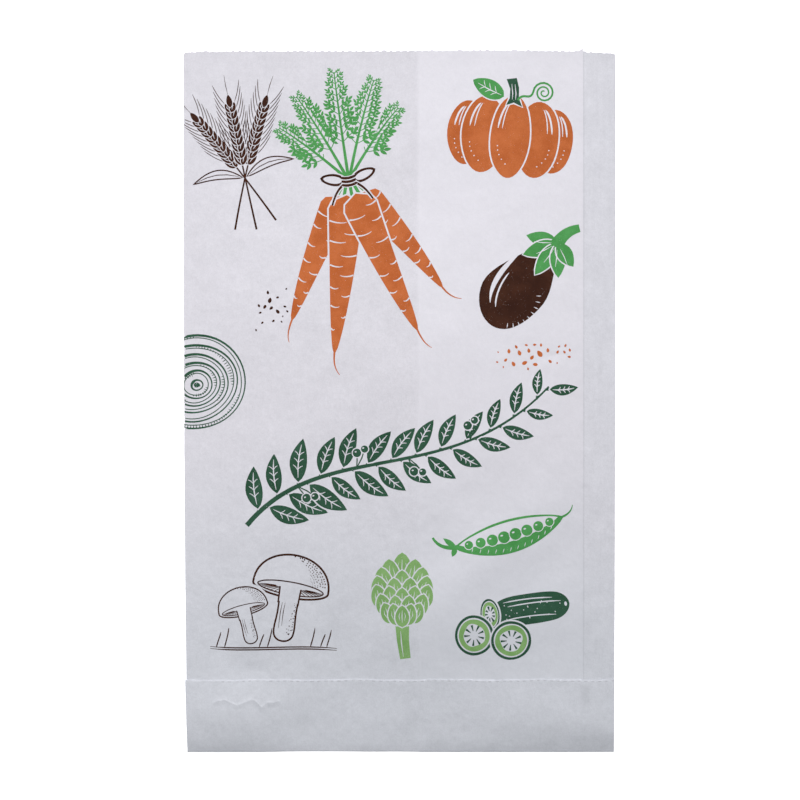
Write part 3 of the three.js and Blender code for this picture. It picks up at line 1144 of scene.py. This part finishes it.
def paper_material():
    """Tone 0 is dark paper and 1 is light. What lies under the sheet shows through as a tone. Painted
    shade and a painted highlight mark the seam, the flap's edge and the bottom fold, and the paper is
    tinted cooler towards the bottom as painted shade.
    """
    n = Nodes("white_kraft_paper")
    x, y = n.x, n.y
    clouds = n.noise(11, detail=2.0)
    dents = n.noise(7, (1, 0.8, 1), 2.0, 0.6)
    flecks = n.noise(2.0, detail=4.0, rough=0.75)
    fibres = n.noise(0.5, (1, 0.7, 1), 2.0, 0.8)
    streaks = n.noise(1.6, (1, 0.05, 1), 2.0)
    uneven = n.noise(9, (1, 0, 0), 2.0, 0.6)
    on_face = n.ramp(n.facing, 0.2, 0.5)

    # The lap and the strip beside it, where another sheet lies right under the face
    flap_edge = FLAP_LENGTH - HALF_LENGTH
    above_flap = n.ramp(y, flap_edge - 0.3, flap_edge + 0.3)
    lap = n.times(n.ramp(x, LAP_X - 1.4, LAP_X + 1.0), n.fall(x, SEAM_X - 0.2, SEAM_X + 0.2), above_flap)
    strip = n.times(n.ramp(x, SEAM_X - 0.1, SEAM_X + 0.1), above_flap)
    # Painted shadow of the seam's edge: a thin dark line on the strip beside it
    seam_shadow = n.times(strip, n.fall(x, SEAM_X + 0.2, SEAM_X + 0.7))

    # The flap's cut edge with a painted highlight and its paler cut fibres, painted shade over the seam
    # under the flap, and spots of painted shade under the knife-cut teeth along the edge
    below_edge = n.minus(flap_edge, y)
    for height, length, shift in FLAP_WAVES:
        wave = n.math("SINE", n.math("MULTIPLY_ADD", x, 1 / length, shift))
        below_edge = n.plus(below_edge, wave, height)
    # Painted highlight where the flap's cut edge catches the light, partly the paler cut fibres
    cut_fibres_and_highlight = n.times(n.ramp(below_edge, -0.3, -0.2), n.fall(below_edge, 0.3, 0.5), on_face)
    cut_fibres_and_highlight = n.times(cut_fibres_and_highlight, n.ramp(uneven, 0.35, 0.6))
    # Painted shade where the seam's edge lies under the flap: a faint dark band
    seam_shade_under_flap = n.fall(n.math("ABSOLUTE", n.minus(x, SEAM_X + 1.1)), 0.3, 3.8)
    seam_shade_under_flap = n.times(seam_shade_under_flap, n.ramp(below_edge, 0.5, 4), n.fall(below_edge, 8, 14), on_face)
    # Spots of painted shade under the teeth of the flap's edge, one for each tooth
    strayed = n.plus(x, n.noise(4, detail=1.0), 1.6)
    pitch_share = n.math("FRACT", n.math("DIVIDE", strayed, TOOTH_PITCH))
    across_spot = n.times(n.minus(pitch_share, 0.5), TOOTH_PITCH / TOOTH_SHADE_HALF[0])
    along_spot = n.times(n.minus(below_edge, TOOTH_SHADE_DOWN), 1 / TOOTH_SHADE_HALF[1])
    off_spot = n.plus(n.times(across_spot, across_spot), along_spot, along_spot)
    tooth_shade = n.times(n.fall(off_spot, 0.4, 1.4), on_face, n.ramp(flecks, 0.35, 0.6, 0.15, 0.5))
    tooth_shade = n.times(tooth_shade, n.ramp(x, -80, -72))

    mottle = 0.0
    grains = (clouds, 0.5), (flecks, 1.0), (fibres, 1.0), (streaks, n.plus(0.08, strip, 0.3))
    for grain, share in grains:
        mottle = n.plus(mottle, n.minus(grain, 0.5), share)
    tone = n.plus(0.45, mottle, n.plus(1.0, lap, -0.5))
    tone = n.plus(tone, lap, n.ramp(y, -60, 110, 0.16, 0.42))
    # Painted light among these: the seam shadow, the highlight on the flap's cut edge, and the shade
    # over the seam under the flap
    for place, share in ((strip, 0.04), (seam_shadow, -0.45), (cut_fibres_and_highlight, 0.08), (seam_shade_under_flap, -0.36)):
        tone = n.plus(tone, place, share)
    # Painted cool shade: the paper is tinted cooler towards the bottom, where less light falls, and a
    # little cooler over the strip beside the seam
    painted_cool_shade = n.math("MAXIMUM", n.fall(y, -118, 0), n.times(strip, 0.4))
    colour = n.blend(painted_cool_shade, n.tint(tone, *LIT_PAPER), n.tint(tone, *COOL_SHADE_PAPER))
    # Painted shade, darker along the bottom fold on the upward-facing side
    fold_shade = n.times(n.ramp(y, -HALF_LENGTH, 4 - HALF_LENGTH, 0.1, 0.0), on_face)
    shade = n.math("MAXIMUM", tooth_shade, fold_shade)
    n.put(n.shader.inputs["Base Color"], n.blend(shade, colour, SHADED_PAPER))
    n.put(n.shader.inputs["Roughness"], n.ramp(flecks, 0.3, 0.7, 0.78, 0.9))
    n.shader.inputs["Specular IOR Level"].default_value = 0.3
    height = n.plus(n.times(fibres, 0.4), flecks, 0.6)
    n.bump(n.plus(height, dents, 14.0), 0.35, 0.06)
    return n.material


def ink_material(name, dark, light):
    """A flat ink with the clouds and pale pinholes of a quick print on soft paper."""
    n = Nodes(name)
    clouds = n.noise(7, detail=3.0)
    grain = n.noise(0.45, detail=2.0, rough=0.8)
    tone = n.plus(n.times(clouds, 0.55), grain, 0.45)
    colour = n.tint(n.ramp(tone, 0.36, 0.64), dark, light)
    pinholes = n.ramp(n.noise(0.3, detail=1.0), 0.74, 0.8)
    n.put(n.shader.inputs["Base Color"], n.blend(pinholes, colour, BARE_PAPER))
    n.put(n.shader.inputs["Roughness"], n.ramp(grain, 0.3, 0.7, 0.7, 0.82))
    n.shader.inputs["Specular IOR Level"].default_value = 0.12
    n.bump(grain, 0.25, 0.04)
    return n.material


INKS = {
    DARK_GREEN: ("ink_dark_green", (0.022, 0.072, 0.04), (0.036, 0.104, 0.062)),
    GREEN: ("ink_green", (0.062, 0.275, 0.07), (0.095, 0.36, 0.105)),
    LIGHT_GREEN: ("ink_light_green", (0.19, 0.37, 0.12), (0.27, 0.47, 0.18)),
    ORANGE: ("ink_orange", (0.46, 0.112, 0.028), (0.57, 0.16, 0.05)),
    BROWN: ("ink_brown", (0.034, 0.01, 0.005), (0.06, 0.02, 0.01)),
}

# ---- the bag


def build_bag():
    draw_face()
    draw_back()
    flat, triangles = cut_sheet()
    middle = [bag_point(u, v) for u, v in flat]
    normals = [bag_normal(u, v) for u, v in flat]
    sheet = paper_sheet([t for t, _ in triangles], flat, middle, normals)
    sheet.data.materials.append(paper_material())
    pieces = [sheet]
    for ink, (name, dark, light) in INKS.items():
        held = [t for t, other in triangles if other == ink]
        piece = ink_film(name, held, middle, normals)
        piece.data.materials.append(ink_material(name, dark, light))
        pieces.append(piece)
    for piece in pieces:
        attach(piece, "root")
        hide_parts("paper_bag")


# ---- the studio

PIXELS = 800
PHOTO_SPAN = BAG_WIDTH / 431.5 * PIXELS  # millimetres across the photograph
BAG_PIXEL = (399.5, 401.5)  # middle of the bag
LENS = 100.0
SENSOR = 36.0
FLOOR_REACH = 3.0  # metres each way
FLOOR_Z = -0.02  # millimetres: clear of the paper
FLOOR_GLOW = 0.75

# Lamps: name, place and aim in metres, size, power, colour
LAMPS = [
    ("overhead", (-0.15, 0.04, 0.34), (-0.15, 0.04, 0), (0.9, 0.08), 1.08, (1.0, 0.965, 0.965)),
    ("low_side", (-0.1, 1.85, 0.68), (0, 0, 0), (0.6, 0.4), 40.2, (1.0, 0.98, 0.98)),
]
WORLD_COLOUR = (0.86, 0.95, 0.985, 1)
WORLD_STRENGTH = 0.195


def make_floor():
    mesh = bpy.data.meshes.new("floor")
    ways = (-1, -1), (1, -1), (1, 1), (-1, 1)
    corners = [(x * FLOOR_REACH, y * FLOOR_REACH, 0) for x, y in ways]
    mesh.from_pydata(corners, [], [(0, 1, 2, 3)])
    floor = bpy.data.objects.new("floor", mesh)
    floor.location.z = FLOOR_Z * MM
    bpy.context.collection.objects.link(floor)
    n = Nodes("pale_floor")
    n.put(n.shader.inputs["Base Color"], n.tint(n.noise(400), (0.9, 0.9, 0.9), (0.93, 0.93, 0.93)))
    n.shader.inputs["Roughness"].default_value = 0.9
    n.shader.inputs["Emission Color"].default_value = (1, 1, 1, 1)
    n.shader.inputs["Emission Strength"].default_value = FLOOR_GLOW
    mesh.materials.append(n.material)


def make_light(name, place, aim, size, power, colour):
    light = bpy.data.lights.new(name, "AREA")
    light.shape = "RECTANGLE"
    light.size, light.size_y = size
    light.energy = power
    light.color = colour
    lamp = bpy.data.objects.new(name, light)
    lamp.location = place
    lamp.rotation_euler = (Vector(aim) - Vector(place)).to_track_quat("-Z", "Y").to_euler()
    lamp.visible_camera = False
    bpy.context.collection.objects.link(lamp)


def make_studio():
    for lamp in LAMPS:
        make_light(*lamp)
    world = bpy.data.worlds.new("studio")
    bpy.context.scene.world = world
    world.use_nodes = True
    background = world.node_tree.nodes["Background"]
    background.inputs["Color"].default_value = WORLD_COLOUR
    background.inputs["Strength"].default_value = WORLD_STRENGTH
    bpy.context.scene.view_settings.view_transform = "Standard"


def make_camera():
    camera = bpy.data.cameras.new("camera")
    camera.lens = LENS
    camera.sensor_width = SENSOR
    eye = bpy.data.objects.new("camera", camera)
    millimetre_per_pixel = PHOTO_SPAN / PIXELS
    middle = PIXELS / 2
    eye.location = (
        (middle - BAG_PIXEL[0]) * millimetre_per_pixel * MM,
        (BAG_PIXEL[1] - middle) * millimetre_per_pixel * MM,
        PHOTO_SPAN * LENS / SENSOR * MM,
    )
    bpy.context.collection.objects.link(eye)
    bpy.context.scene.camera = eye


make_camera()
make_studio()
make_floor()
build_bag()

bpy.context.view_layer.update()
